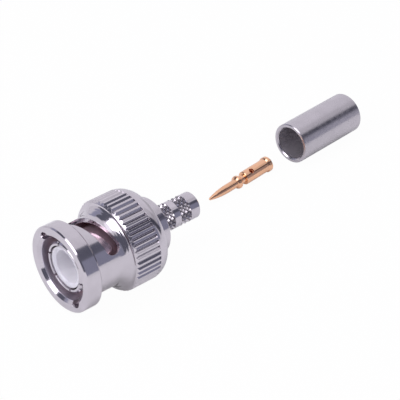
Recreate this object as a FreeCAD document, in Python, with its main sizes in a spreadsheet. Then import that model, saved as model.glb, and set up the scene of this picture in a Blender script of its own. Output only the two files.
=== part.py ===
"""BNC plug of the crimp type, with its loose centre contact and crimp ferrule.

Lengths are in millimetres and angles in degrees. The connector's axis is X, from the centre of the
mating face towards the cable, and Z is up. All three pieces lie on one level surface.
"""
import FreeCAD
import Part
import Sketcher
import math
import os
from types import SimpleNamespace

DRIVING_SIZES = {
    # Coupling nut, outside, from the mating face back
    "flange_height": 1.2,
    "flange_width": 2.6,
    "flange_front_chamfer": 0.2,
    "flange_rear_chamfer": 0.25,
    "barrel_wall": 0.65,
    "barrel_length": 4.3,
    "flare_radius": 1.58,
    "lip_width": 0.14,
    "lip_below_grooves": 0.03,
    "grip_chamfer_width": 0.3,
    "grip_radius": 7.25,
    "grip_length": 4.04,
    "tail_length": 1.76,
    "tail_drop": 0.65,
    # Coupling nut, inside
    "mouth_chamfer": 0.5,
    "mouth_gap": 0.9,
    "shoulder_thickness": 1.1,
    "shoulder_clearance": 0.15,
    # Straight knurl
    "groove_count": 50,
    "groove_width": 0.6,
    "groove_depth": 0.28,
    # Bayonet: entry channel, helical slot and locking hole
    "bayonet_count": 2,
    "channel_width": 2.2,
    "channel_depth": 0.35,
    "channel_crown": 0.7,
    "slot_width": 2.4,
    "slot_start": 4.55,
    "slot_rise": 1.75,
    "slot_turn": 90,
    "lock_hole_radius": 1.22,
    "lock_hole_offset": 0.05,
    "cut_margin": 0.35,
    "nut_turn": 39,
    # Springs and washers behind the contact's flange
    "stack_gap": 0.02,
    "thrust_washer_thickness": 0.3,
    "stack_side_clearance": 0.15,
    "washer_hole_clearance": 0.15,
    "wave_height": 0.6,
    "wave_thickness": 0.2,
    "wave_count": 3,
    "points_per_wave": 12,
    # Outer contact
    "finger_recess": 0.8,
    "finger_radius": 4.05,
    "finger_wall": 0.58,
    "finger_chamfer": 0.27,
    "finger_slot_count": 6,
    "finger_slot_width": 0.34,
    "finger_slot_length": 4.3,
    "finger_turn": 17,
    "gasket_seat_height": 0.2,
    "contact_flange_clearance": 0.2,
    "contact_flange_thickness": 0.8,
    "neck_radius": 3.6,
    "neck_wall": 0.7,
    "neck_grip": 1.3,
    # Insulator and gasket
    "finger_gap": 0.22,
    "insulator_recess": 0.2,
    "insulator_clearance": 0.05,
    "cup_wall": 0.65,
    "cup_depth": 6.2,
    "cup_edge": 0.3,
    "gasket_thickness": 1.25,
    "gasket_clearance": 0.05,
    "gasket_edge": 0.15,
    # Collar and crimp stem
    "collar_gap": 0.12,
    "collar_radius": 4.5,
    "collar_length": 2.4,
    "collar_chamfer": 0.2,
    "thread_clearance": 0.03,
    "stem_radius": 2.14,
    "stem_length": 7.86,
    "stem_chamfer": 0.15,
    "cable_bore_radius": 1.6,
    "diamond_count": 16,
    "diamond_crest_height": 0.06,
    "diamond_root_depth": 0.21,
    "front_band_start": 1.4,
    "front_band_length": 1.5,
    "rear_band_start": 4.05,
    "rear_band_length": 2.0,
    # Centre contact
    "pin_tip_radius": 0.24,
    "pin_taper_length": 4.0,
    "pin_shaft_radius": 0.72,
    "pin_bead_start": 6.1,
    "pin_bead_length": 1.1,
    "pin_bead_radius": 1.13,
    "pin_barrel_start": 8.1,
    "pin_barrel_radius": 1.14,
    "pin_flange_length": 0.9,
    "pin_flange_radius": 1.32,
    "pin_length": 14.15,
    "pin_edge": 0.2,
    "pin_bore_radius": 0.6,
    "pin_bore_depth": 5.2,
    "sight_hole_radius": 0.46,
    "sight_hole_from_floor": 0.65,
    "pin_fit_clearance": 0.08,
    # Crimp ferrule
    "ferrule_radius": 3.5,
    "ferrule_bore_radius": 2.8,
    "ferrule_length": 14.4,
    "ferrule_edge": 0.12,
    "ferrule_inner_edge": 0.2,
    # Where the loose pieces lie
    "pin_place_x": 34.12,
    "pin_place_y": 6.0,
    "pin_yaw": 4.4,
    "pin_roll": 24,
    "ferrule_place_x": 52.92,
    "ferrule_place_y": 6.59,
    "ferrule_yaw": 3.9,
}

doc = FreeCAD.newDocument("bnc_plug")


class Size:
    """A size that carries the sheet's formula for it and its present value."""

    def __init__(self, formula, value):
        self.formula = formula
        self.value = value

    def __add__(self, other):
        other = as_size(other)
        return Size(f"({self.formula} + {other.formula})", self.value + other.value)

    def __sub__(self, other):
        other = as_size(other)
        return Size(f"({self.formula} - {other.formula})", self.value - other.value)

    def __mul__(self, other):
        other = as_size(other)
        return Size(f"({self.formula} * {other.formula})", self.value * other.value)

    def __truediv__(self, other):
        other = as_size(other)
        return Size(f"({self.formula} / {other.formula})", self.value / other.value)

    def __neg__(self):
        return Size(f"(0 - {self.formula})", -self.value)


def as_size(number):
    """The same size, or a plain number as a size."""
    if isinstance(number, Size):
        return number
    return Size(repr(number), number)


def make_sheet():
    """Writes the driving sizes to a spreadsheet and returns them by name."""
    sheet = doc.addObject("Spreadsheet::Sheet", "Sizes")
    named = {}
    for row, (name, value) in enumerate(DRIVING_SIZES.items(), start=1):
        sheet.set(f"A{row}", name)
        sheet.set(f"B{row}", str(value))
        sheet.setAlias(f"B{row}", name)
        named[name] = Size(f"Sizes.{name}", value)
    doc.recompute()
    return SimpleNamespace(**named)


dim = make_sheet()
ZERO = as_size(0)

# Places along the axis that several pieces share
flare_start = dim.flange_width + dim.barrel_length
lip_front = flare_start + dim.flare_radius
lip_rear = lip_front + dim.lip_width
grip_front = lip_rear + dim.grip_chamfer_width
grip_rear = grip_front + dim.grip_length
nut_rear = grip_rear + dim.tail_length
shoulder_front = nut_rear - dim.shoulder_thickness
thrust_rear = shoulder_front - dim.stack_gap
thrust_front = thrust_rear - dim.thrust_washer_thickness
rear_wave_front = thrust_front - dim.stack_gap - dim.wave_height
front_wave_front = rear_wave_front - dim.stack_gap - dim.wave_height
flange_rear = front_wave_front - dim.stack_gap
flange_front = flange_rear - dim.contact_flange_thickness
gasket_rear = flange_front - dim.stack_gap
gasket_front = gasket_rear - dim.gasket_thickness
finger_root = dim.finger_recess + dim.finger_slot_length
insulator_front = dim.finger_recess + dim.insulator_recess
collar_front = nut_rear + dim.collar_gap
collar_rear = collar_front + dim.collar_length
neck_rear = collar_front + dim.neck_grip
stem_rear = collar_rear + dim.stem_length

# Radii that several pieces share
nut_bore_radius = dim.finger_radius + dim.mouth_gap
barrel_radius = nut_bore_radius + dim.barrel_wall
flange_radius = barrel_radius + dim.flange_height
lip_radius = dim.grip_radius - dim.groove_depth - dim.lip_below_grooves
shoulder_hole_radius = dim.neck_radius + dim.shoulder_clearance
finger_bore = dim.finger_radius - dim.finger_wall
neck_bore = dim.neck_radius - dim.neck_wall
insulator_front_radius = finger_bore - dim.finger_gap
cup_radius = insulator_front_radius - dim.cup_wall
insulator_radius = finger_bore - dim.insulator_clearance
insulator_tail_radius = neck_bore - dim.insulator_clearance
gasket_seat_radius = dim.finger_radius + dim.gasket_seat_height
stack_radius = nut_bore_radius - dim.stack_side_clearance
washer_hole_radius = dim.neck_radius + dim.washer_hole_clearance
diamond_crest_radius = dim.stem_radius + dim.diamond_crest_height
diamond_root_radius = dim.stem_radius - dim.diamond_root_depth


def arc_radius(run, rise):
    """Radius of the arc that starts along the run and climbs by the rise over its length."""
    return (run * run + rise * rise) / (rise * 2)


def origin_feature(body, role):
    """The body's own origin plane or axis with this role."""
    for feature in body.Origin.OriginFeatures:
        if feature.Role == role:
            return feature
    raise ValueError(f"{body.Label} has no {role}")


def new_body(label):
    """An empty body whose label names its file."""
    body = doc.addObject("PartDesign::Body", label)
    body.Label = label
    return body


def new_sketch(body, name, plane, lift=None):
    """A sketch on one of the body's origin planes, lifted along the plane's normal if asked."""
    sketch = body.newObject("Sketcher::SketchObject", name)
    sketch.AttachmentSupport = (origin_feature(body, plane), [""])
    sketch.MapMode = "FlatFace"
    if lift is not None:
        sketch.setExpression("AttachmentOffset.Base.z", lift.formula)
    return sketch


def tie(sketch, kind, geometry, end, size):
    """Ties one end of an edge to the sketch's origin along one direction."""
    if size.formula == "0":
        axis = -2 if kind == "DistanceX" else -1
        sketch.addConstraint(Sketcher.Constraint("PointOnObject", geometry, end, axis))
        return
    if size.value < 0:
        size = -size
        constraint = Sketcher.Constraint(kind, geometry, end, -1, 1, size.value)
    else:
        constraint = Sketcher.Constraint(kind, -1, 1, geometry, end, size.value)
    number = sketch.addConstraint(constraint)
    sketch.setExpression(f"Constraints[{number}]", size.formula)


def arc_between(start, end, radius, side):
    """An arc from start to end whose centre lies to the left (1) or right (-1) of the way there."""
    along = end - start
    middle = start + along * 0.5
    rise = math.sqrt(max(radius ** 2 - (along.Length / 2) ** 2, 0))
    left = FreeCAD.Vector(-along.y, along.x, 0).normalize()
    centre = middle + left * (rise * side)
    first = math.atan2(start.y - centre.y, start.x - centre.x)
    last = math.atan2(end.y - centre.y, end.x - centre.x)
    if side < 0:
        first, last = last, first
    circle = Part.Circle(centre, FreeCAD.Vector(0, 0, 1), radius)
    return Part.ArcOfCircle(circle, first, last)


def draw_outline(sketch, corners):
    """A closed outline through the corners.

    A corner is (across, up), or (across, up, radius, side) where an arc of that radius leads to it,
    with its centre to the left (side 1) or to the right (side -1).
    """
    corners = [tuple(as_size(item) for item in corner[:3]) + tuple(corner[3:]) for corner in corners]
    points = [FreeCAD.Vector(corner[0].value, corner[1].value, 0) for corner in corners]
    ends = []
    for number, corner in enumerate(corners):
        start = points[number - 1]
        end = points[number]
        if len(corner) == 2:
            edge = sketch.addGeometry(Part.LineSegment(start, end))
            ends.append((edge, 1, 2))
            continue
        radius, side = corner[2], corner[3]
        edge = sketch.addGeometry(arc_between(start, end, radius.value, side))
        constraint = sketch.addConstraint(Sketcher.Constraint("Radius", edge, radius.value))
        sketch.setExpression(f"Constraints[{constraint}]", radius.formula)
        ends.append((edge, 1, 2) if side > 0 else (edge, 2, 1))
    for number, (edge, _, end) in enumerate(ends):
        following, start, _ = ends[(number + 1) % len(ends)]
        sketch.addConstraint(Sketcher.Constraint("Coincident", edge, end, following, start))
        tie(sketch, "DistanceX", edge, end, corners[number][0])
        tie(sketch, "DistanceY", edge, end, corners[number][1])


def draw_circle(sketch, across, up, radius):
    """A circle about the given point."""
    centre = FreeCAD.Vector(across.value, up.value, 0)
    edge = sketch.addGeometry(Part.Circle(centre, FreeCAD.Vector(0, 0, 1), radius.value))
    tie(sketch, "DistanceX", edge, 3, across)
    tie(sketch, "DistanceY", edge, 3, up)
    number = sketch.addConstraint(Sketcher.Constraint("Radius", edge, radius.value))
    sketch.setExpression(f"Constraints[{number}]", radius.formula)


def turned(body, name, corners):
    """A turned solid from (axial, radial) corners."""
    sketch = new_sketch(body, f"{name}_profile", "XZ_Plane")
    draw_outline(sketch, corners)
    turn = body.newObject("PartDesign::Revolution", name)
    turn.Profile = sketch
    turn.ReferenceAxis = (origin_feature(body, "X_Axis"), [""])
    turn.Angle = 360
    body.Tip = turn
    doc.recompute()
    return turn


def cut_along_normal(body, name, sketch, depth):
    """A pocket from the sketch in the direction of its plane's normal."""
    pocket = body.newObject("PartDesign::Pocket", name)
    pocket.Profile = sketch
    pocket.Reversed = True
    pocket.setExpression("Length", depth.formula)
    body.Tip = pocket
    return pocket


def repeat_round_axis(body, name, features, count):
    """Repeats the features evenly about the body's X axis."""
    pattern = body.newObject("PartDesign::PolarPattern", name)
    pattern.Originals = features
    pattern.Axis = (origin_feature(body, "X_Axis"), [""])
    pattern.Angle = 360
    pattern.setExpression("Occurrences", count.formula)
    body.Tip = pattern
    doc.recompute()
    return pattern


def make_coupling_nut():
    """Bayonet coupling: turned body, straight knurl, and two entry channels with helical slots."""
    body = new_body("coupling_nut")
    tail_arc = arc_radius(dim.tail_length, dim.tail_drop)
    turned(body, "Turned_nut", [
        (ZERO, nut_bore_radius + dim.mouth_chamfer),
        (ZERO, flange_radius - dim.flange_front_chamfer),
        (dim.flange_front_chamfer, flange_radius),
        (dim.flange_width - dim.flange_rear_chamfer, flange_radius),
        (dim.flange_width, flange_radius - dim.flange_rear_chamfer),
        (dim.flange_width, barrel_radius),
        (flare_start, barrel_radius),
        (lip_front, lip_radius, dim.flare_radius, 1),
        (lip_rear, lip_radius),
        (grip_front, dim.grip_radius),
        (grip_rear, dim.grip_radius),
        (nut_rear, dim.grip_radius - dim.tail_drop, tail_arc, -1),
        (nut_rear, shoulder_hole_radius),
        (shoulder_front, shoulder_hole_radius),
        (shoulder_front, nut_bore_radius),
        (dim.mouth_chamfer, nut_bore_radius),
    ])
    cut_knurl(body)
    cut_bayonet(body)
    nose_up = FreeCAD.Rotation(FreeCAD.Vector(1, 0, 0), -dim.nut_turn.value)
    body.Placement = FreeCAD.Placement(FreeCAD.Vector(), nose_up)
    return body


def cut_knurl(body):
    """Straight V grooves round the grip, which run out in its front chamfer just above the lip.

    Their section is drawn to twice its depth, so that it leaves the grip's surface at its full width.
    """
    sketch = new_sketch(body, "Groove_section", "YZ_Plane", lip_rear)
    draw_outline(sketch, [
        (ZERO, dim.grip_radius - dim.groove_depth),
        (dim.groove_width, dim.grip_radius + dim.groove_depth),
        (-dim.groove_width, dim.grip_radius + dim.groove_depth),
    ])
    groove = cut_along_normal(body, "Groove", sketch, dim.grip_chamfer_width + dim.grip_length)
    repeat_round_axis(body, "Knurl", [groove], dim.groove_count)


def cut_bayonet(body):
    """Entry channels, quarter-turn helical slots and round locking holes."""
    half_channel = dim.channel_width / 2
    side_reach = nut_bore_radius + dim.channel_depth
    sketch = new_sketch(body, "Channel_section", "YZ_Plane")
    draw_outline(sketch, [
        (-half_channel, nut_bore_radius - half_channel),
        (half_channel, nut_bore_radius - half_channel),
        (half_channel, side_reach),
        (-half_channel, side_reach, arc_radius(half_channel, dim.channel_crown), 1),
    ])
    half_slot = dim.slot_width / 2
    channel = cut_along_normal(body, "Entry_channel", sketch, dim.slot_start + half_slot)

    wall_inside = nut_bore_radius - dim.cut_margin
    wall_outside = barrel_radius + dim.cut_margin
    sketch = new_sketch(body, "Slot_section", "XZ_Plane")
    draw_outline(sketch, [
        (dim.slot_start - half_slot, wall_inside),
        (dim.slot_start + half_slot, wall_inside),
        (dim.slot_start + half_slot, wall_outside),
        (dim.slot_start - half_slot, wall_outside),
    ])
    slot = body.newObject("PartDesign::SubtractiveHelix", "Helical_slot")
    slot.Profile = sketch
    slot.ReferenceAxis = (sketch, ["H_Axis"])
    slot.Mode = "pitch-height-angle"
    slot.setExpression("Height", dim.slot_rise.formula)
    slot.setExpression("Pitch", (dim.slot_rise * 360 / dim.slot_turn).formula)
    body.Tip = slot

    sketch = new_sketch(body, "Lock_hole_section", "XZ_Plane")
    lock_place = dim.slot_start + dim.slot_rise - dim.lock_hole_offset
    draw_circle(sketch, lock_place, ZERO, dim.lock_hole_radius)
    hole = cut_along_normal(body, "Lock_hole", sketch, lip_radius)
    repeat_round_axis(body, "Bayonet", [channel, slot, hole], dim.bayonet_count)


def make_outer_contact():
    """Slotted spring fingers, a seat for the gasket, a flange, and a neck for springs and coupling."""
    body = new_body("outer_contact")
    tip = dim.finger_recess
    flange_reach = nut_bore_radius - dim.contact_flange_clearance
    turned(body, "Turned_contact", [
        (tip, finger_bore),
        (tip, dim.finger_radius - dim.finger_chamfer),
        (tip + dim.finger_chamfer, dim.finger_radius),
        (gasket_front, dim.finger_radius),
        (gasket_front, gasket_seat_radius),
        (flange_front, gasket_seat_radius),
        (flange_front, flange_reach),
        (flange_rear, flange_reach),
        (flange_rear, dim.neck_radius),
        (neck_rear, dim.neck_radius),
        (neck_rear, neck_bore),
        (flange_front, neck_bore),
        (flange_front, finger_bore),
    ])
    half = dim.finger_slot_width / 2
    sketch = new_sketch(body, "Finger_slot_section", "YZ_Plane")
    draw_outline(sketch, [
        (-half, finger_bore - dim.finger_wall),
        (half, finger_bore - dim.finger_wall),
        (half, dim.finger_radius + dim.finger_wall),
        (-half, dim.finger_radius + dim.finger_wall),
    ])
    slot = cut_along_normal(body, "Finger_slot", sketch, finger_root)
    repeat_round_axis(body, "Fingers", [slot], dim.finger_slot_count)
    turn = FreeCAD.Rotation(FreeCAD.Vector(1, 0, 0), -dim.finger_turn.value)
    body.Placement = FreeCAD.Placement(FreeCAD.Vector(), turn)
    return body


def make_insulator():
    """White cup, narrower where the fingers flex, with a stepped hole for the centre contact."""
    body = new_body("insulator")
    cup_floor = insulator_front + dim.cup_depth
    shaft_hole = dim.pin_shaft_radius + dim.pin_fit_clearance
    barrel_hole = dim.pin_flange_radius + dim.pin_fit_clearance
    turned(body, "Turned_insulator", [
        (insulator_front, cup_radius + dim.cup_edge),
        (insulator_front, insulator_front_radius),
        (finger_root, insulator_front_radius),
        (finger_root, insulator_radius),
        (flange_front - dim.insulator_clearance, insulator_radius),
        (flange_front - dim.insulator_clearance, insulator_tail_radius),
        (neck_rear, insulator_tail_radius),
        (neck_rear, barrel_hole),
        (flange_front, barrel_hole),
        (flange_front, shaft_hole),
        (cup_floor, shaft_hole),
        (cup_floor, cup_radius),
        (insulator_front + dim.cup_edge, cup_radius),
    ])
    return body


def make_gasket():
    """Soft sealing ring round the fingers, in front of the contact's flange."""
    body = new_body("gasket")
    hole = gasket_seat_radius + dim.gasket_clearance
    turned(body, "Turned_gasket", [
        (gasket_front, hole),
        (gasket_front, stack_radius - dim.gasket_edge),
        (gasket_front + dim.gasket_edge, stack_radius),
        (gasket_rear, stack_radius),
        (gasket_rear, hole),
    ])
    return body


def make_thrust_washer():
    """Flat ring that the springs press against the coupling's inner shoulder."""
    body = new_body("thrust_washer")
    turned(body, "Turned_washer", [
        (thrust_front, washer_hole_radius),
        (thrust_front, stack_radius),
        (thrust_rear, stack_radius),
        (thrust_rear, washer_hole_radius),
    ])
    return body


def make_wave_washer(label, front, phase):
    """Spring ring bent into waves round its circle."""
    thickness = dim.wave_thickness.value
    swing = (dim.wave_height.value - thickness) / 2
    waves = round(dim.wave_count.value)
    steps = waves * round(dim.points_per_wave.value)

    def wavy_circle(radius):
        points = []
        for step in range(steps):
            angle = 2 * math.pi * step / steps
            place = front.value + swing * (1 + math.cos(waves * angle + phase))
            points.append(FreeCAD.Vector(place, radius * math.sin(angle), radius * math.cos(angle)))
        curve = Part.BSplineCurve()
        curve.interpolate(Points=points, PeriodicFlag=True)
        return curve.toShape()

    face = Part.makeRuledSurface(wavy_circle(washer_hole_radius.value), wavy_circle(stack_radius.value))
    washer = doc.addObject("Part::Feature", label)
    washer.Label = label
    washer.Shape = face.extrude(FreeCAD.Vector(thickness, 0, 0))
    return washer


def diamond_band(name, start, length):
    """A cylinder covered with small four-sided pyramids, as crossed knurling leaves them.

    Every ring has crests and roots by turns and the next ring has them the other way about, so the
    roots of neighbouring rings join into two sets of crossing valleys.
    """
    around = round(dim.diamond_count.value) * 2
    pitch = 2 * math.pi * dim.stem_radius.value / around
    rings = max(round(length.value / pitch), 2)

    def knot(ring, place):
        is_root = (ring + place) % 2 == 0
        radius = diamond_root_radius.value if is_root else diamond_crest_radius.value
        angle = 2 * math.pi * place / around
        along = start.value + length.value * ring / rings
        return FreeCAD.Vector(along, radius * math.sin(angle), radius * math.cos(angle))

    def face(points):
        return Part.Face(Part.makePolygon(points + points[:1]))

    faces = []
    for ring in range(rings):
        for place in range(around):
            low_left = knot(ring, place)
            low_right = knot(ring, place + 1)
            high_left = knot(ring + 1, place)
            high_right = knot(ring + 1, place + 1)
            if (ring + place) % 2 == 0:
                faces.append(face([low_left, low_right, high_right]))
                faces.append(face([low_left, high_right, high_left]))
            else:
                faces.append(face([low_left, low_right, high_left]))
                faces.append(face([low_right, high_right, high_left]))
    faces.append(face([knot(0, place) for place in range(around)]))
    faces.append(face([knot(rings, place) for place in range(around)]))
    solid = Part.makeSolid(Part.makeShell(faces))
    if solid.Volume < 0:
        solid.reverse()
    band = doc.addObject("Part::Feature", name)
    band.Shape = solid
    return band


def make_crimp_stem():
    """Collar behind the coupling and the thin stem that the cable's braid is crimped to."""
    body = new_body("Turned_collar_and_stem")
    front_start = collar_rear + dim.front_band_start
    front_end = front_start + dim.front_band_length
    rear_start = collar_rear + dim.rear_band_start
    rear_end = rear_start + dim.rear_band_length
    recess = (diamond_root_radius + dim.cable_bore_radius) / 2
    turned(body, "Turned_stem", [
        (collar_front, ZERO),
        (collar_front, dim.collar_radius),
        (collar_rear - dim.collar_chamfer, dim.collar_radius),
        (collar_rear, dim.collar_radius - dim.collar_chamfer),
        (collar_rear, dim.stem_radius),
        (front_start, dim.stem_radius),
        (front_start, recess),
        (front_end, recess),
        (front_end, dim.stem_radius),
        (rear_start, dim.stem_radius),
        (rear_start, recess),
        (rear_end, recess),
        (rear_end, dim.stem_radius),
        (stem_rear - dim.stem_chamfer, dim.stem_radius),
        (stem_rear, dim.stem_radius - dim.stem_chamfer),
        (stem_rear, ZERO),
    ])
    bands = [
        diamond_band("Front_band", front_start, dim.front_band_length),
        diamond_band("Rear_band", rear_start, dim.rear_band_length),
    ]
    knurled = doc.addObject("Part::MultiFuse", "Knurled_stem")
    knurled.Shapes = [body] + bands
    hollow = new_body("Hollow")
    turned(hollow, "Turned_hollow", [
        (collar_front, ZERO),
        (collar_front, dim.neck_radius + dim.thread_clearance),
        (neck_rear + dim.thread_clearance, dim.neck_radius + dim.thread_clearance),
        (neck_rear + dim.thread_clearance, dim.cable_bore_radius),
        (stem_rear, dim.cable_bore_radius),
        (stem_rear, ZERO),
    ])
    stem = doc.addObject("Part::Cut", "crimp_stem")
    stem.Label = "crimp_stem"
    stem.Base = knurled
    stem.Tool = hollow
    doc.recompute()
    return stem


def make_contact_pin():
    """Centre contact: pointed shaft, bead, barrel with a sight hole, rear flange and a blind bore."""
    body = new_body("contact_pin")
    taper_arc = arc_radius(dim.pin_taper_length, dim.pin_shaft_radius - dim.pin_tip_radius)
    bead_half = dim.pin_bead_length / 2
    bead_arc = arc_radius(bead_half, dim.pin_bead_radius - dim.pin_shaft_radius)
    flange_start = dim.pin_length - dim.pin_flange_length
    bore_floor = dim.pin_length - dim.pin_bore_depth
    turned(body, "Turned_pin", [
        (ZERO, ZERO),
        (dim.pin_tip_radius, dim.pin_tip_radius, dim.pin_tip_radius, -1),
        (dim.pin_tip_radius + dim.pin_taper_length, dim.pin_shaft_radius, taper_arc, -1),
        (dim.pin_bead_start, dim.pin_shaft_radius),
        (dim.pin_bead_start + bead_half, dim.pin_bead_radius, bead_arc, -1),
        (dim.pin_bead_start + dim.pin_bead_length, dim.pin_shaft_radius, bead_arc, -1),
        (dim.pin_barrel_start, dim.pin_shaft_radius),
        (dim.pin_barrel_start, dim.pin_barrel_radius - dim.pin_edge),
        (dim.pin_barrel_start + dim.pin_edge, dim.pin_barrel_radius, dim.pin_edge, -1),
        (flange_start, dim.pin_barrel_radius),
        (flange_start + dim.pin_edge, dim.pin_flange_radius),
        (dim.pin_length - dim.pin_edge, dim.pin_flange_radius),
        (dim.pin_length, dim.pin_flange_radius - dim.pin_edge, dim.pin_edge, -1),
        (dim.pin_length, dim.pin_bore_radius),
        (bore_floor, dim.pin_bore_radius),
        (bore_floor, ZERO),
    ])
    sketch = new_sketch(body, "Sight_hole_section", "XY_Plane")
    draw_circle(sketch, bore_floor + dim.sight_hole_from_floor, ZERO, dim.sight_hole_radius)
    cut_along_normal(body, "Sight_hole", sketch, dim.pin_flange_radius)
    floor = -dim.grip_radius.value
    bead_centre = dim.pin_bead_start.value + bead_half.value
    flange_centre = (flange_start.value + dim.pin_length.value) / 2
    rise = dim.pin_flange_radius.value - dim.pin_bead_radius.value
    pitch = math.degrees(math.atan(rise / (flange_centre - bead_centre)))
    tip_height = dim.pin_bead_radius.value - bead_centre * math.tan(math.radians(pitch))
    place = FreeCAD.Vector(dim.pin_place_x.value, dim.pin_place_y.value, floor + tip_height)
    body.Placement = FreeCAD.Placement(
        place, FreeCAD.Rotation(dim.pin_yaw.value, -pitch, dim.pin_roll.value))
    return body


def make_crimp_ferrule():
    """Plain tube that is crimped over the cable's braid."""
    body = new_body("crimp_ferrule")
    mouth = dim.ferrule_bore_radius + dim.ferrule_inner_edge
    edge = dim.ferrule_edge
    inner_edge = dim.ferrule_inner_edge
    turned(body, "Turned_ferrule", [
        (ZERO, mouth),
        (ZERO, dim.ferrule_radius - edge),
        (edge, dim.ferrule_radius),
        (dim.ferrule_length - edge, dim.ferrule_radius),
        (dim.ferrule_length, dim.ferrule_radius - edge),
        (dim.ferrule_length, mouth),
        (dim.ferrule_length - inner_edge, dim.ferrule_bore_radius),
        (inner_edge, dim.ferrule_bore_radius),
    ])
    height = dim.ferrule_radius.value - dim.grip_radius.value
    place = FreeCAD.Vector(dim.ferrule_place_x.value, dim.ferrule_place_y.value, height)
    turn = FreeCAD.Rotation(FreeCAD.Vector(0, 0, 1), dim.ferrule_yaw.value)
    body.Placement = FreeCAD.Placement(place, turn)
    return body


def check_document():
    """Stops if any object of the document failed."""
    for item in doc.Objects:
        if "Invalid" in item.State or "Error" in item.State:
            raise RuntimeError(f"{item.Label} failed: {item.State}")


def export_pieces(pieces):
    """Checks each piece and writes it to its own file."""
    for piece in pieces:
        shape = piece.Shape
        if shape.isNull() or not shape.isValid():
            raise RuntimeError(f"{piece.Label} has no valid shape")
    os.makedirs("parts", exist_ok=True)
    for piece in pieces:
        piece.Shape.exportStep(f"parts/{piece.Label}.step")
        box = piece.Shape.BoundBox
        print(f"{piece.Label}: {len(piece.Shape.Solids)} solid, volume {piece.Shape.Volume:.3f}, "
              f"x {box.XMin:.2f} to {box.XMax:.2f}")


def main():
    pieces = [
        make_coupling_nut(),
        make_outer_contact(),
        make_insulator(),
        make_gasket(),
        make_thrust_washer(),
        make_wave_washer("wave_washer_front", front_wave_front, 0),
        make_wave_washer("wave_washer_rear", rear_wave_front, math.pi),
        make_crimp_stem(),
        make_contact_pin(),
        make_crimp_ferrule(),
    ]
    doc.recompute()
    check_document()
    export_pieces(pieces)


main()
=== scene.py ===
"""Dresses a crimp-type bayonet cable plug with its loose centre contact and crimp tube, and lights it.

The plug's axis is X, from the mating face towards the cable. All lengths are in metres.
"""

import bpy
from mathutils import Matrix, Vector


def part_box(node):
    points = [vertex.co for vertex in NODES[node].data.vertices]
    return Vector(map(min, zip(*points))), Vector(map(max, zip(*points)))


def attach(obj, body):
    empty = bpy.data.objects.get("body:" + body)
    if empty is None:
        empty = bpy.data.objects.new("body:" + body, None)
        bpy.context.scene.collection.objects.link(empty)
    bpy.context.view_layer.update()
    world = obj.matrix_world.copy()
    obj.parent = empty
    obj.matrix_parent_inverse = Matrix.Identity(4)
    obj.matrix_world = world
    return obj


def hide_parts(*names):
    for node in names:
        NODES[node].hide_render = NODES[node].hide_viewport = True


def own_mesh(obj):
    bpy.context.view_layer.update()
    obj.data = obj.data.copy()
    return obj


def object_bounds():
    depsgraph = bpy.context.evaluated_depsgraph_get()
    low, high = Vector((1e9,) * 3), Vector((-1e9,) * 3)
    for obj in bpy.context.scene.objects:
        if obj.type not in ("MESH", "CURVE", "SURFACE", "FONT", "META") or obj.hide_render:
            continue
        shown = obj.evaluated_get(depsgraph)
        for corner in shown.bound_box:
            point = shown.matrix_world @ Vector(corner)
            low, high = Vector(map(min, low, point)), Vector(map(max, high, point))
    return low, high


bl_info = {
    "name": "Bayonet cable plug",
    "version": (1, 0, 0),
    "blender": (4, 5, 0),
    "location": "View3D > Sidebar > Plug",
    "description": "Finishes for the plug's pieces and a studio to look at them in",
    "category": "Object",
}

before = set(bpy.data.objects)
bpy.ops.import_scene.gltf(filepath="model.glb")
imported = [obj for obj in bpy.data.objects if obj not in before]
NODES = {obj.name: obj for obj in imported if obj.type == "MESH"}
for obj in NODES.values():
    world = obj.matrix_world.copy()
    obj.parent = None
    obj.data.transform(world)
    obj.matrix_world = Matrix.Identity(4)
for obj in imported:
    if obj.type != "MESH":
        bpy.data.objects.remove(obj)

import math
from collections import namedtuple

import bmesh
import bpy
from bpy.props import FloatProperty, FloatVectorProperty, PointerProperty
from mathutils import Vector

CAD_BOX = [list(corner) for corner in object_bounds()]
FLOOR_HEIGHT = CAD_BOX[0][2]
MM = 0.001
WHITE = (1, 1, 1, 1)

# How the loose pieces lie on the floor. The centre contact's axis passes through this point.
PIN_CENTRE = (41.17 * MM, 6.54 * MM, FLOOR_HEIGHT + 1.24 * MM)
PIN_YAW = math.radians(4.4)
FERRULE_YAW = math.radians(3.9)

# Points of a washer's mesh nearer than this are one, and its faces meet sharply past this angle.
WELD_DISTANCE = 0.001 * MM
SHARP_ANGLE = math.radians(30)

# Nearly all of a noise lies between these values.
NOISE_RANGE = (0.3, 0.7)

# Sizes of the metal's stains, of the blotches in its polish, of the lathe's marks and of the plate's grain.
STAIN_SIZE = 2.5 * MM
POLISH_SIZE = 0.9 * MM
WAVE_SIZE = 0.28 * MM
RING_SIZE = 0.09 * MM
GRAIN_SIZE = 0.05 * MM

# How deep the lathe's waves and the grain are against the lathe's rings.
WAVE_DEPTH = 2.5
GRAIN_DEPTH = 0.4

# A patch's finish sets in over these widths, across its radius and behind its start. Its wear, and in the
# crimp tube's bore its painted shade, grows between two levels over a length, stains add their share to it,
# and at the last level the plate is worn through and the crimp tube's painted shade is full.
PATCH_RIM = 0.05 * MM
PATCH_FRONT = 0.2 * MM
WEAR_AND_SHADE_LENGTH = 3 * MM
WEAR_AND_SHADE_LEVELS = (-0.3, 0.5)
STAIN_WEAR_AND_SHADE = 0.4
FULL_WEAR_AND_SHADE = 0.8

# Painted shade between a knurl's teeth: its colour, its height above their root, how much it darkens the plate.
KNURL_SHADE_COLOUR = (0.08, 0.07, 0.08)
KNURL_SHADE_HEIGHT = 0.12 * MM
KNURL_SHADE_SHARE = 0.6

# The coupling's thin lip curls up by a height, behind a dip of this length and depth.
LIP_DIP_LENGTH = 0.36 * MM
LIP_DIP_DEPTH = 0.14 * MM
LIP_CURL_HEIGHT = 0.09 * MM

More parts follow.
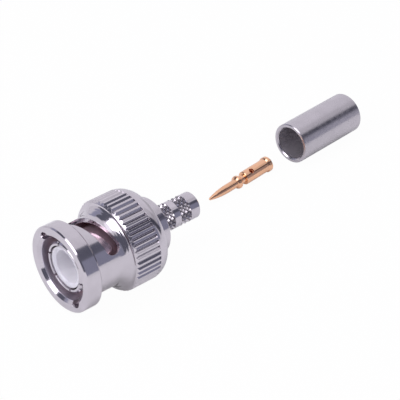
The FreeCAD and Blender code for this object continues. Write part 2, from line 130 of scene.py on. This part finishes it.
# Edges are rounded more on the coupling's barrel than on its front ring, by the factor, and less again on
# its grip, by the drop. Each pair of places is where the change starts and ends.
BARREL_START = (2.1 * MM, 2.4 * MM)
BARREL_ROUNDING = 2.4
GRIP_START = (7.8 * MM, 8.2 * MM)
GRIP_ROUNDING_DROP = 0.8

# Painted shade on the insulator's lamp-lit front edge: where the darker band fades, how strong it is and how
# light it is.
PAINTED_RIM_SHADE_BAND = (1.0 * MM, 1.7 * MM)
PAINTED_RIM_SHADE_SHARE = 0.8
PAINTED_RIM_SHADE_FACTOR = 0.75

# Share of plain white in the floor, to the camera and in a mirror. The rest is paper that takes shadows.
FLOOR_SEEN = 0.975
FLOOR_MIRRORED = 0.22
FLOOR_PAPER = (0.93, 0.93, 0.93, 1)
FLOOR_CORNERS = 64


def colour_property(name, description, default):
    """A colour that a user can change."""
    return FloatVectorProperty(
        name=name, description=description, subtype="COLOR", size=3, min=0, max=1, default=default)


def share_property(name, description, default):
    """A number from nought to one that a user can change."""
    return FloatProperty(
        name=name, description=description, subtype="FACTOR", min=0, max=1, default=default)


def length_property(name, description, default):
    """A length that a user can change."""
    return FloatProperty(
        name=name, description=description, unit="LENGTH", precision=5, min=0, default=default)


class MetalSettings(bpy.types.PropertyGroup):
    """Colours and polish of the metal pieces."""

    nickel: colour_property("Nickel", "Bright nickel plate on the plug", (0.635, 0.60, 0.632))
    nickel_roughness: share_property("Nickel roughness", "How blurred the nickel's reflections are", 0.11)
    thin_plate: colour_property("Thin plate", "Thin nickel plate inside the coupling", (0.61, 0.58, 0.66))
    thin_plate_roughness: share_property("Thin plate roughness", "How blurred its reflections are", 0.42)
    tarnish: share_property("Tarnish", "How dull the bare metal has become", 0.6)
    finger_plate: colour_property("Finger plate", "Plate on the slotted fingers", (0.64, 0.56, 0.60))
    finger_roughness: share_property("Finger roughness", "How blurred the fingers' reflections are", 0.17)
    bare: colour_property("Bare metal", "Coppery metal under the thin plate", (0.66, 0.50, 0.55))
    satin: colour_property("Satin nickel", "Dull nickel plate on the crimp tube", (0.58, 0.55, 0.58))
    satin_roughness: share_property("Satin roughness", "How blurred the crimp tube's reflections are", 0.23)
    rose_gold: colour_property("Rose gold", "Plate on the centre contact", (0.93, 0.55, 0.34))
    rose_inside: colour_property("Contact's bore", "Redder metal in the contact's bore", (1.0, 0.48, 0.24))
    rose_roughness: share_property("Rose gold roughness", "How blurred the contact's reflections are", 0.14)
    bronze: colour_property("Bronze", "Spring strip of the washers", (0.62, 0.42, 0.22))
    bronze_roughness: share_property("Bronze roughness", "How blurred the washers' reflections are", 0.25)
    edge_rounding: length_property("Edge rounding", "Radius that tumbling leaves on sharp edges", 0.05 * MM)


class SoftSettings(bpy.types.PropertyGroup):
    """Colours of the insulator and the gasket."""

    insulator: colour_property("Insulator", "White insulating plastic", (0.965, 0.945, 1.0))
    gasket: colour_property("Gasket", "Red sealing rubber", (0.50, 0.03, 0.04))


class StudioSettings(bpy.types.PropertyGroup):
    """Camera, floor and lights."""

    camera_place: FloatVectorProperty(
        name="Camera place", description="Where the camera stands", subtype="TRANSLATION", unit="LENGTH",
        default=(-90.56 * MM, -132.97 * MM, 121.95 * MM))
    camera_aim: FloatVectorProperty(
        name="Camera aim", description="Direction that the camera looks along", subtype="DIRECTION",
        default=(0.54534, 0.61779, -0.56651))
    focal_length: FloatProperty(
        name="Focal length", description="In millimetres, on a 36 mm sensor", min=1, default=126)
    floor_reach: FloatProperty(
        name="Floor reach", description="From the plug to the floor's edge", unit="LENGTH", min=0.1,
        default=0.8)
    lamp_power: FloatProperty(
        name="Lamp power", description="Power of the softbox in watts", min=0, default=0.74)
    lamp_colour: colour_property("Lamp", "Colour of the softbox", (0.943, 0.92, 1.0))
    room_colour: colour_property("Room", "Colour of the pale room round the plug", (0.80, 0.78, 0.85))
    shade_colour: colour_property("Shade", "Bluer colour of the dark gaps in the room", (0.73, 0.745, 1.0))


def shaded(colour, factor):
    """The colour made lighter or darker."""
    return tuple(min(channel * factor, 1) for channel in colour)


class Bench:
    """Puts a node tree together step by step."""

    def __init__(self, tree):
        tree.nodes.clear()
        self.nodes, self.links = tree.nodes, tree.links

    def fill(self, socket, value):
        """Links another socket to the input, or sets it to a plain value."""
        if isinstance(value, bpy.types.NodeSocket):
            self.links.new(value, socket)
        else:
            socket.default_value = value

    def add(self, kind, *inputs):
        """A node whose first inputs are other sockets or plain values."""
        node = self.nodes.new(kind)
        for socket, value in zip(node.inputs, inputs):
            self.fill(socket, value)
        return node

    def math(self, operation, *inputs):
        """A Math node on sockets or numbers."""
        node = self.add("ShaderNodeMath", *inputs)
        node.operation = operation
        return node.outputs[0]

    def spread(self, value, start, end, low=0.0, high=1.0, smooth=False):
        """The value's stretch from start to end, spread between low and high."""
        node = self.add("ShaderNodeMapRange", value, start, end, low, high)
        node.interpolation_type = "SMOOTHSTEP" if smooth else "LINEAR"
        return node.outputs[0]

    def mix(self, factor, first, second):
        """A mix of two colours, each a socket or three channels."""
        node = self.nodes.new("ShaderNodeMix")
        node.data_type = "RGBA"
        for name, value in (("Factor", factor), ("A", first), ("B", second)):
            socket = next(item for item in node.inputs if item.name == name and item.enabled)
            plain_colour = name != "Factor" and not isinstance(value, bpy.types.NodeSocket)
            self.fill(socket, (*value, 1) if plain_colour else value)
        return next(item for item in node.outputs if item.enabled)


class Finish(Bench):
    """A procedural material on Object coordinates."""

    def __init__(self, name, roughness, metallic=0.0):
        self.material = bpy.data.materials.new(name)
        self.material.use_nodes = True
        super().__init__(self.material.node_tree)
        output = self.nodes.new("ShaderNodeOutputMaterial")
        self.shader = self.nodes.new("ShaderNodeBsdfPrincipled")
        self.links.new(self.shader.outputs["BSDF"], output.inputs["Surface"])
        self.shader.inputs["Metallic"].default_value = metallic
        self.shader.inputs["Roughness"].default_value = roughness
        self.place = self.nodes.new("ShaderNodeTexCoord").outputs["Object"]

    def turn_to(self, centre, yaw):
        """Puts the pattern's axis along a piece that lies at an angle on the floor."""
        mapping = self.nodes.new("ShaderNodeMapping")
        mapping.vector_type = "TEXTURE"
        mapping.inputs["Location"].default_value = centre
        mapping.inputs["Rotation"].default_value = (0, 0, yaw)
        self.links.new(self.place, mapping.inputs["Vector"])
        self.place = mapping.outputs["Vector"]

    def turned_place(self):
        """Place along the piece's axis, and distance out from it."""
        split = self.add("ShaderNodeSeparateXYZ", self.place)
        across = self.math("MULTIPLY", split.outputs["Y"], split.outputs["Y"])
        up = self.math("MULTIPLY", split.outputs["Z"], split.outputs["Z"])
        return split.outputs["X"], self.math("SQRT", self.math("ADD", across, up))

    def ring_place(self, along, out):
        """Coordinates that are equal all round the piece's axis."""
        return self.add("ShaderNodeCombineXYZ", along, out).outputs[0]

    def noise(self, place, size, detail):
        """A noise whose blotches are about the given size across."""
        node = self.nodes.new("ShaderNodeTexNoise")
        node.inputs["Scale"].default_value = 1 / size
        node.inputs["Detail"].default_value = detail
        self.links.new(place, node.inputs["Vector"])
        return node.outputs["Fac"]

    def blotches(self, size, detail, low=0.0, high=1.0):
        """Soft blotches all over the piece, spread between low and high."""
        return self.spread(self.noise(self.place, size, detail), *NOISE_RANGE, low, high)

    def mottle(self, blotches, colour, darker, lighter):
        """The colour, darker and lighter by these factors in blotches."""
        return self.mix(blotches, shaded(colour, darker), shaded(colour, lighter))

    def feed(self, name, socket):
        """Links a socket to one of the shader's inputs."""
        self.links.new(socket, self.shader.inputs[name])

    def bump(self, reliefs, rounding=None):
        """Sets the relief from (height socket, depth) pairs, over edges rounded by a small radius."""
        normal = None
        if rounding is not None:
            normal = self.add("ShaderNodeBevel", rounding).outputs["Normal"]
        for height, depth in reliefs:
            node = self.nodes.new("ShaderNodeBump")
            node.inputs["Distance"].default_value = depth
            self.links.new(height, node.inputs["Height"])
            if normal is not None:
                self.links.new(normal, node.inputs["Normal"])
            normal = node.outputs["Normal"]
        self.feed("Normal", normal)


# A part of a piece with another finish: nearer to the axis than the radius and further back than the start.
# Deeper in, it turns into its deep colour and dullness: worn plate, and in the crimp tube's bore painted shade.
# Dullness is how far it is from metal's shine.
Patch = namedtuple("Patch", "colour deep_colour roughness dullness deep_dullness radius start")

# A knurl's root, and where along the axis the knurled part starts and ends.
Knurl = namedtuple("Knurl", "root start end")


def patch_masks(finish, patch, along, out, stains):
    """Where a patch covers the piece, and how far it has turned into its deep colour: worn plate, and painted
    shade in the crimp tube's bore.
    """
    near = finish.spread(out, patch.radius + PATCH_RIM, patch.radius - PATCH_RIM)
    behind = finish.spread(along, patch.start, patch.start + PATCH_FRONT)
    covered = finish.math("MULTIPLY", near, behind)
    wear_and_shade_level = finish.spread(along, patch.start, patch.start + WEAR_AND_SHADE_LENGTH, *WEAR_AND_SHADE_LEVELS)
    wear_and_shade_level = finish.math("ADD", wear_and_shade_level, finish.math("MULTIPLY", stains, STAIN_WEAR_AND_SHADE))
    return covered, finish.spread(wear_and_shade_level, 0, FULL_WEAR_AND_SHADE)


def knurl_root_shade(finish, knurl, along, out):
    """How much painted shade darkens the plate between a knurl's teeth."""
    root_shade = finish.spread(out, knurl.root + KNURL_SHADE_HEIGHT, knurl.root, 0, KNURL_SHADE_SHARE)
    root_shade = finish.math("MULTIPLY", root_shade, finish.math("GREATER_THAN", along, knurl.start))
    return finish.math("MULTIPLY", root_shade, finish.math("LESS_THAN", along, knurl.end))


def lathe_marks(finish, along, out, depth):
    """Reliefs of the lathe's waves and fine rings, and of the plate's grain."""
    place = finish.ring_place(along, out)
    waves = finish.noise(place, WAVE_SIZE, detail=1)
    rings = finish.noise(place, RING_SIZE, detail=1)
    grain = finish.noise(finish.place, GRAIN_SIZE, detail=1)
    return [(waves, depth * WAVE_DEPTH), (rings, depth), (grain, depth * GRAIN_DEPTH)]


def lip_reliefs(finish, along, front, rear):
    """Reliefs of a thin lip that curls up, behind a shallow dip."""
    dip = finish.spread(along, front - LIP_DIP_LENGTH, front, 1, 0)
    curl = finish.spread(along, front, rear)
    return [(dip, LIP_DIP_DEPTH), (curl, LIP_CURL_HEIGHT)]


def coupling_rounding(finish, along, rounding):
    """Edge rounding that differs between the coupling's front ring, barrel and grip."""
    barrel = finish.spread(along, *BARREL_START, rounding, BARREL_ROUNDING * rounding)
    drop = finish.spread(along, *GRIP_START, 0, GRIP_ROUNDING_DROP * rounding)
    return finish.math("SUBTRACT", barrel, drop)


def turned_metal(
        name, colour, roughness, mark_depth, rounding, lie=None, inside=None, knurl=None, lip=None):
    """Plated metal with fine rings left by the lathe, soft stains and a slightly uneven polish.

    lie is the centre and yaw of a loose piece, inside is a Patch, knurl is a Knurl with painted shade
    between its teeth, and lip is where the coupling's thin lip starts and ends.
    """
    finish = Finish(name, roughness, metallic=1.0)
    if lie is not None:
        finish.turn_to(*lie)
    along, out = finish.turned_place()
    stains = finish.blotches(STAIN_SIZE, detail=3)
    plate = finish.mottle(stains, colour, darker=0.95, lighter=1.04)
    gloss = finish.blotches(POLISH_SIZE, detail=3, low=roughness * 0.8, high=roughness * 1.25)
    if inside is not None:
        covered, wear_and_shade = patch_masks(finish, inside, along, out, stains)
        # The deep colour is worn plate, and in the crimp tube's bore it is painted shade.
        plate = finish.mix(covered, plate, finish.mix(wear_and_shade, inside.colour, inside.deep_colour))
        gloss = finish.math("ADD", gloss, finish.math("MULTIPLY", covered, inside.roughness - roughness))
        dullness = finish.spread(wear_and_shade, 0, 1, inside.dullness, inside.deep_dullness)
        finish.feed("Metallic", finish.math("SUBTRACT", 1, finish.math("MULTIPLY", covered, dullness)))
    if knurl is not None:
        # Painted shade darkens the plate in the knurl's roots.
        plate = finish.mix(knurl_root_shade(finish, knurl, along, out), plate, KNURL_SHADE_COLOUR)
    finish.feed("Base Color", plate)
    finish.feed("Roughness", gloss)
    reliefs = lathe_marks(finish, along, out, mark_depth)
    if lip is not None:
        reliefs = lip_reliefs(finish, along, *lip) + reliefs
        rounding = coupling_rounding(finish, along, rounding)
    finish.bump(reliefs, rounding)
    return finish.material


def insulator_plastic(colour):
    """Waxy white plastic with painted shade on its lamp-lit front edge, and faint cutting rings."""
    finish = Finish("insulator_plastic", roughness=0.45)
    along, out = finish.turned_place()
    plastic = finish.mottle(finish.blotches(1.5 * MM, detail=2), colour, darker=0.98, lighter=1.02)
    # Painted shade: the front edge's colour is darkened to tone down the lamp's light on it.
    painted_rim_shade = finish.spread(along, *PAINTED_RIM_SHADE_BAND, PAINTED_RIM_SHADE_SHARE, 0)
    finish.feed("Base Color", finish.mix(painted_rim_shade, plastic, shaded(colour, PAINTED_RIM_SHADE_FACTOR)))
    finish.shader.inputs["Subsurface Weight"].default_value = 1.0
    finish.shader.inputs["Subsurface Radius"].default_value = (1.0, 1.0, 1.0)
    finish.shader.inputs["Subsurface Scale"].default_value = 0.9 * MM
    rings = finish.noise(finish.ring_place(along, out), 0.12 * MM, detail=1)
    ring_depth = 0.002 * MM
    finish.bump([(rings, ring_depth)])
    return finish.material


def gasket_rubber(colour):
    """Smooth red rubber with a dusty bloom."""
    finish = Finish("gasket_rubber", roughness=0.5)
    bloom = finish.blotches(0.4 * MM, detail=3)
    finish.feed("Base Color", finish.mottle(bloom, colour, darker=0.85, lighter=1.15))
    grain = finish.noise(finish.place, 0.06 * MM, detail=2)
    grain_depth = 0.004 * MM
    finish.bump([(grain, grain_depth)])
    return finish.material


def dress(material, name):
    """Gives a CAD node a finish in place of its plain one."""
    slots = NODES[name].data.materials
    slots.clear()
    slots.append(material)


def middle(name):
    """Centre of a CAD node's box."""
    low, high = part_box(name)
    return (low + high) / 2


def make_spring(name, node, material):
    """A spring washer in its node's place."""
    shape = bmesh.new()
    shape.from_mesh(NODES[node].data)
    bmesh.ops.remove_doubles(shape, verts=shape.verts, dist=WELD_DISTANCE)
    shape.verts.index_update()
    points = [vertex.co.copy() for vertex in shape.verts]
    faces = [[vertex.index for vertex in face.verts] for face in shape.faces]
    shape.free()
    mesh = bpy.data.meshes.new(name)
    mesh.from_pydata(points, [], faces)
    mesh.shade_smooth()
    mesh.set_sharp_from_angle(angle=SHARP_ANGLE)
    mesh.materials.append(material)
    spring = bpy.data.objects.new(name, mesh)
    bpy.context.scene.collection.objects.link(spring)
    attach(spring, "connector")
    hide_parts(node)
    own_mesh(spring)


class PLUG_OT_coupling(bpy.types.Operator):
    """Nickel finish for the coupling with its knurled grip and bayonet slots."""

    bl_idname = "plug.coupling"
    bl_label = "Dress the coupling"

    def execute(self, context):
        metal = context.scene.plug_metal
        thin_plate = Patch(
            metal.thin_plate, metal.bare, metal.thin_plate_roughness, dullness=0.06,
            deep_dullness=metal.tarnish, radius=5 * MM, start=0)
        nickel = turned_metal(
            "bright_nickel", metal.nickel, metal.nickel_roughness, mark_depth=0.0012 * MM,
            rounding=metal.edge_rounding, inside=thin_plate, lip=(8.47 * MM, 8.64 * MM))
        dress(nickel, "coupling_nut")
        return {"FINISHED"}


class PLUG_OT_outer_contact(bpy.types.Operator):
    """Thinly plated finish for the slotted fingers inside the mouth."""

    bl_idname = "plug.outer_contact"
    bl_label = "Dress the outer contact"

    def execute(self, context):
        metal = context.scene.plug_metal
        thin_plate = Patch(
            metal.finger_plate, metal.bare, metal.finger_roughness, dullness=0.2, deep_dullness=0.24,
            radius=9 * MM, start=1.5 * MM)
        plate = turned_metal(
            "finger_plate", metal.nickel, metal.nickel_roughness, mark_depth=0.001 * MM,
            rounding=metal.edge_rounding, inside=thin_plate)
        dress(plate, "outer_contact")
        return {"FINISHED"}


class PLUG_OT_insulator(bpy.types.Operator):
    """White plastic for the cup inside the fingers."""

    bl_idname = "plug.insulator"
    bl_label = "Dress the insulator"

    def execute(self, context):
        dress(insulator_plastic(context.scene.plug_soft.insulator), "insulator")
        return {"FINISHED"}


class PLUG_OT_gasket(bpy.types.Operator):
    """Red rubber for the sealing ring."""

    bl_idname = "plug.gasket"
    bl_label = "Dress the gasket"

    def execute(self, context):
        dress(gasket_rubber(context.scene.plug_soft.gasket), "gasket")
        return {"FINISHED"}


class PLUG_OT_springs(bpy.types.Operator):
    """Bronze finish for the spring washers behind the contact's flange."""

    bl_idname = "plug.springs"
    bl_label = "Dress the springs"

    def execute(self, context):
        metal = context.scene.plug_metal
        bronze = turned_metal(
            "spring_bronze", metal.bronze, metal.bronze_roughness, mark_depth=0.001 * MM,
            rounding=metal.edge_rounding)
        dress(bronze, "thrust_washer")
        make_spring("front_spring", "wave_washer_front", bronze)
        make_spring("rear_spring", "wave_washer_rear", bronze)
        return {"FINISHED"}


class PLUG_OT_crimp_stem(bpy.types.Operator):
    """Nickel finish for the collar and the knurled stem."""

    bl_idname = "plug.crimp_stem"
    bl_label = "Dress the crimp stem"

    def execute(self, context):
        metal = context.scene.plug_metal
        nickel = turned_metal(
            "stem_nickel", metal.nickel, metal.nickel_roughness, mark_depth=0.001 * MM,
            rounding=metal.edge_rounding, knurl=Knurl(root=1.95 * MM, start=16 * MM, end=24.5 * MM))
        dress(nickel, "crimp_stem")
        return {"FINISHED"}


class PLUG_OT_contact_pin(bpy.types.Operator):
    """Rose gold finish for the loose centre contact."""

    bl_idname = "plug.contact_pin"
    bl_label = "Dress the centre contact"

    def execute(self, context):
        metal = context.scene.plug_metal
        bore = Patch(
            metal.rose_inside, metal.rose_inside, roughness=0.4, dullness=1, deep_dullness=1,
            radius=0.85 * MM, start=1.2 * MM)
        gold = turned_metal(
            "rose_gold", metal.rose_gold, metal.rose_roughness, mark_depth=0.0012 * MM,
            rounding=metal.edge_rounding, lie=(PIN_CENTRE, PIN_YAW), inside=bore)
        dress(gold, "contact_pin")
        return {"FINISHED"}


class PLUG_OT_crimp_ferrule(bpy.types.Operator):
    """Satin finish for the loose crimp tube."""

    bl_idname = "plug.crimp_ferrule"
    bl_label = "Dress the crimp ferrule"

    def execute(self, context):
        metal = context.scene.plug_metal
        # The bore's deep colour is a darker copy of the satin: painted shade that deepens into the tube.
        bore = Patch(
            metal.satin, shaded(metal.satin, 0.8), roughness=0.4, dullness=0.3, deep_dullness=0.35,
            radius=2.95 * MM, start=-7 * MM)
        satin = turned_metal(
            "satin_nickel", metal.satin, metal.satin_roughness, mark_depth=0.0007 * MM,
            rounding=metal.edge_rounding, lie=(middle("crimp_ferrule"), FERRULE_YAW), inside=bore)
        dress(satin, "crimp_ferrule")
        return {"FINISHED"}


def floor_material():
    """Floor that looks white to the camera, apart from light shadows, and darker in a mirror."""
    material = bpy.data.materials.new("floor_white")
    material.use_nodes = True
    bench = Bench(material.node_tree)
    path = bench.add("ShaderNodeLightPath")
    seen = bench.math("MULTIPLY", path.outputs["Is Camera Ray"], FLOOR_SEEN)
    mirrored = bench.math("MULTIPLY", path.outputs["Is Glossy Ray"], FLOOR_MIRRORED)
    share = bench.math("MAXIMUM", seen, mirrored)
    paper = bench.add("ShaderNodeBsdfDiffuse", FLOOR_PAPER)
    glow = bench.add("ShaderNodeEmission", WHITE)
    mix = bench.add("ShaderNodeMixShader", share, paper.outputs[0], glow.outputs[0])
    bench.add("ShaderNodeOutputMaterial", mix.outputs[0])
    return material


def make_floor(reach):
    """A plain round floor under the pieces."""
    points = []
    for corner in range(FLOOR_CORNERS):
        angle = 2 * math.pi * corner / FLOOR_CORNERS
        points.append((reach * math.cos(angle), reach * math.sin(angle), FLOOR_HEIGHT))
    mesh = bpy.data.meshes.new("floor")
    mesh.from_pydata(points, [], [range(FLOOR_CORNERS)])
    mesh.materials.append(floor_material())
    floor = bpy.data.objects.new("floor", mesh)
    bpy.context.scene.collection.objects.link(floor)


# The room as the plug sees it. Each panel has its middle's bearing from +X towards +Y, half its width, its
# lowest and highest elevation and its edge's softness, all in degrees, how far its bearing shifts for each
# degree of elevation, and its brightness against the room's. A later panel covers an earlier one.
ROOM_PANELS = (
    (0, 181, 72, 91, 6, 0, 1.7),
    (-15, 12, -5, 56, 8, 0, 0.62),
    (-15, 12, 32, 58, 8, 0, 0.82),
    (45, 30, -5, 66, 8, 0, 1.05),
    (8, 22, -5, 17, 8, 0, 0.72),
    (-12, 12, -5, 8, 8, 0, 0.45),
    (-80, 38, -5, 34, 5, 0, 0.38),
    (-84, 50, 32, 60, 5, 0, 0.18),
    (-23, 9, -5, 43, 5, -0.38, 0.11),
    (-145, 27, -5, 47, 5, 0, 0.17),
    (100, 28, 4, 34, 6, 0, 0.5),
    (104, 24, -5, 15, 8, 0, 0.95),
    (120, 38, 34, 63, 5, 0, 0.18),
    (142, 14, -5, 40, 5, 0, 0.17),
)

# Panels below this brightness take the shade's colour.
SHADE_BELOW = 0.6


def make_world(room_colour, shade_colour):
    """A pale room with darker gaps between its panels, which draw the streaks on the polished pieces."""
    world = bpy.data.worlds.new("studio")
    bpy.context.scene.world = world
    world.use_nodes = True
    bench = Bench(world.node_tree)
    way = bench.add("ShaderNodeSeparateXYZ", bench.add("ShaderNodeTexCoord").outputs["Generated"])
    bearing = bench.math("ARCTAN2", way.outputs["Y"], way.outputs["X"])
    height = bench.math("ARCSINE", way.outputs["Z"])
    colour = room_colour
    for middle_bearing, half_width, lowest, highest, edge, lean, brightness in ROOM_PANELS:
        line = bench.math("MULTIPLY_ADD", height, lean, math.radians(middle_bearing))
        off = bench.math("WRAP", bench.math("SUBTRACT", bearing, line), -math.pi, math.pi)
        off = bench.math("ABSOLUTE", off)
        soft = math.radians(edge) / 2
        half, low, high = (math.radians(value) for value in (half_width, lowest, highest))
        across = bench.spread(off, half + soft, half - soft, smooth=True)
        above = bench.spread(height, low - soft, low + soft, smooth=True)
        below = bench.spread(height, high + soft, high - soft, smooth=True)
        inside = bench.math("MULTIPLY", across, bench.math("MULTIPLY", above, below))
        tint = shade_colour if brightness < SHADE_BELOW else room_colour
        colour = bench.mix(inside, colour, [channel * brightness for channel in tint])
    room = bench.add("ShaderNodeBackground", colour)
    white = bench.add("ShaderNodeBackground", WHITE)
    seen = bench.add("ShaderNodeLightPath").outputs["Is Camera Ray"]
    mix = bench.add("ShaderNodeMixShader", seen, room.outputs[0], white.outputs[0])
    bench.add("ShaderNodeOutputWorld", mix.outputs[0])


def make_softbox(name, bearing, elevation, distance, width, height, power, colour):
    """A soft lamp that shines on the plug from the given direction."""
    lamp = bpy.data.lights.new(name, "AREA")
    lamp.shape = "RECTANGLE"
    lamp.size = width
    lamp.size_y = height
    lamp.energy = power
    lamp.color = colour
    softbox = bpy.data.objects.new(name, lamp)
    level = math.cos(elevation)
    away = Vector((level * math.cos(bearing), level * math.sin(bearing), math.sin(elevation)))
    softbox.location = away * distance
    softbox.rotation_euler = away.to_track_quat("Z", "Y").to_euler()
    bpy.context.scene.collection.objects.link(softbox)


def make_camera(studio):
    """The photograph's camera."""
    lens = bpy.data.cameras.new("camera")
    lens.lens = studio.focal_length
    lens.sensor_width = 36
    lens.clip_start = 0.01
    lens.clip_end = 10
    camera = bpy.data.objects.new("camera", lens)
    camera.location = studio.camera_place
    camera.rotation_euler = Vector(studio.camera_aim).to_track_quat("-Z", "Y").to_euler()
    bpy.context.scene.collection.objects.link(camera)
    bpy.context.scene.camera = camera


class PLUG_OT_stage(bpy.types.Operator):
    """Camera, white floor, softbox and pale room."""

    bl_idname = "plug.stage"
    bl_label = "Set up the studio"

    def execute(self, context):
        studio = context.scene.plug_studio
        context.scene.view_settings.view_transform = "Standard"
        make_camera(studio)
        make_floor(studio.floor_reach)
        make_world(studio.room_colour, studio.shade_colour)
        make_softbox(
            "softbox_left", bearing=math.radians(176), elevation=math.radians(43), distance=0.35,
            width=0.20, height=0.40, power=studio.lamp_power, colour=studio.lamp_colour)
        return {"FINISHED"}


OPERATORS = (
    PLUG_OT_stage,
    PLUG_OT_coupling,
    PLUG_OT_outer_contact,
    PLUG_OT_insulator,
    PLUG_OT_gasket,
    PLUG_OT_springs,
    PLUG_OT_crimp_stem,
    PLUG_OT_contact_pin,
    PLUG_OT_crimp_ferrule,
)

SETTINGS = {
    "plug_metal": MetalSettings,
    "plug_soft": SoftSettings,
    "plug_studio": StudioSettings,
}


class PLUG_PT_sidebar(bpy.types.Panel):
    """Settings and steps for the plug."""

    bl_idname = "PLUG_PT_sidebar"
    bl_label = "Plug"
    bl_space_type = "VIEW_3D"
    bl_region_type = "UI"
    bl_category = "Plug"

    def draw(self, context):
        for name, settings in SETTINGS.items():
            box = self.layout.box()
            for field in settings.__annotations__:
                box.prop(getattr(context.scene, name), field)
        for operator in OPERATORS:
            self.layout.operator(operator.bl_idname)


CLASSES = (*SETTINGS.values(), *OPERATORS, PLUG_PT_sidebar)


def register():
    for item in CLASSES:
        bpy.utils.register_class(item)
    for name, settings in SETTINGS.items():
        setattr(bpy.types.Scene, name, PointerProperty(type=settings))


def unregister():
    for name in SETTINGS:
        delattr(bpy.types.Scene, name)
    for item in reversed(CLASSES):
        bpy.utils.unregister_class(item)


def main():
    """Runs every step in order."""
    register()
    for operator in OPERATORS:
        group, step = operator.bl_idname.split(".")
        getattr(getattr(bpy.ops, group), step)()


if __name__ == "__main__":
    main()
